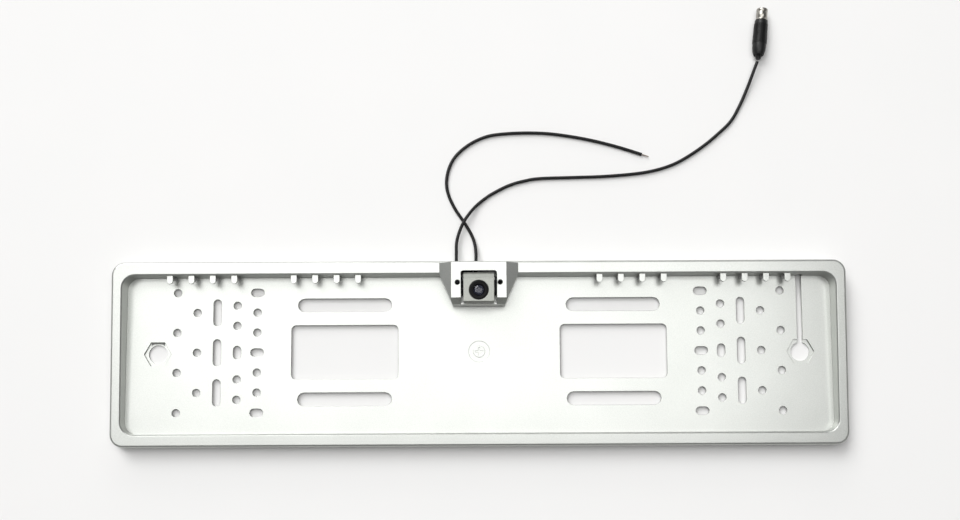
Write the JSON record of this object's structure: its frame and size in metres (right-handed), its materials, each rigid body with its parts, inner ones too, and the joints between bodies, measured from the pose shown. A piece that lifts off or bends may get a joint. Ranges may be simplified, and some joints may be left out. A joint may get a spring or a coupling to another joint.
{
  "type": "licence plate frame with reversing camera",
  "caption": "Rectangular vehicle licence plate frame with a perforated back panel and a small square reversing camera that tilts in a pod at the top edge.",
  "frame": {"origin": "middle of the frame's outline, on the plane of its back edge, which is the surface it lies on", "axes": "+X along the plate to its right, +Y up the plate towards the camera pod, +Z out of the plate's front face"},
  "size_m": [0.538, 0.3297, 0.0253],
  "materials": {
    "silver_paint": "moulded plastic with satin silver metallic paint",
    "satin_silver": "moulded plastic with satin silver metallic paint, a shade darker than the frame",
    "black_steel": "black plated steel",
    "zinc_steel": "zinc plated",
    "black_plastic": "black moulded plastic",
    "black_rubber": "soft black jacket and rubber",
    "lens_glass": "coated lens glass",
    "board_green": "glass-epoxy board with solder mask",
    "tinned_copper": "bare twisted copper strands",
    "nickel_plate": "nickel plated",
    "gold_plate": "gold plated contact",
    "white_insulator": "white insulator"
  },
  "bodies": {
    "frame": {"plate_frame": "silver_paint", "pod_cover": "silver_paint", "pod_back_plate": "silver_paint", "camera_bracket": "black_steel", "face_screw_left": "black_steel", "face_screw_right": "black_steel", "rail_screw_left": "zinc_steel", "rail_screw_right": "zinc_steel", "back_screw_left": "zinc_steel", "back_screw_right": "zinc_steel", "video_lead_inner": "black_rubber", "power_lead_inner": "black_rubber", "video_grommet": "black_rubber", "power_grommet": "black_rubber", "video_lead": "black_rubber", "video_jack_body": "black_plastic", "video_jack_barrel": "nickel_plate", "video_jack_insulator": "white_insulator", "video_jack_contact": "gold_plate", "power_lead": "black_rubber", "power_lead_core": "tinned_copper"},
    "camera_head": {"camera_case": "satin_silver", "camera_rear_cover": "satin_silver", "case_screw_1": "zinc_steel", "case_screw_2": "zinc_steel", "case_screw_3": "zinc_steel", "case_screw_4": "zinc_steel", "lens_ring": "black_plastic", "front_lens": "lens_glass", "lens_barrel": "black_plastic", "rear_lens": "lens_glass", "lens_holder": "black_plastic", "sensor_board": "board_green", "image_sensor": "black_plastic", "pivot_screw_left": "zinc_steel", "pivot_screw_right": "zinc_steel", "pivot_washer_left": "zinc_steel", "pivot_washer_right": "zinc_steel", "lead_gland": "black_rubber"}
  },
  "joints": [
    {"name": "camera_tilt", "type": "hinge", "parent": "frame", "child": "camera_head", "pos_m": [0, 0.0469, 0.0165], "axis": [1, 0, 0], "range_deg": [-12, 12], "deforming": ["video_lead_inner", "power_lead_inner"]}
  ]
}
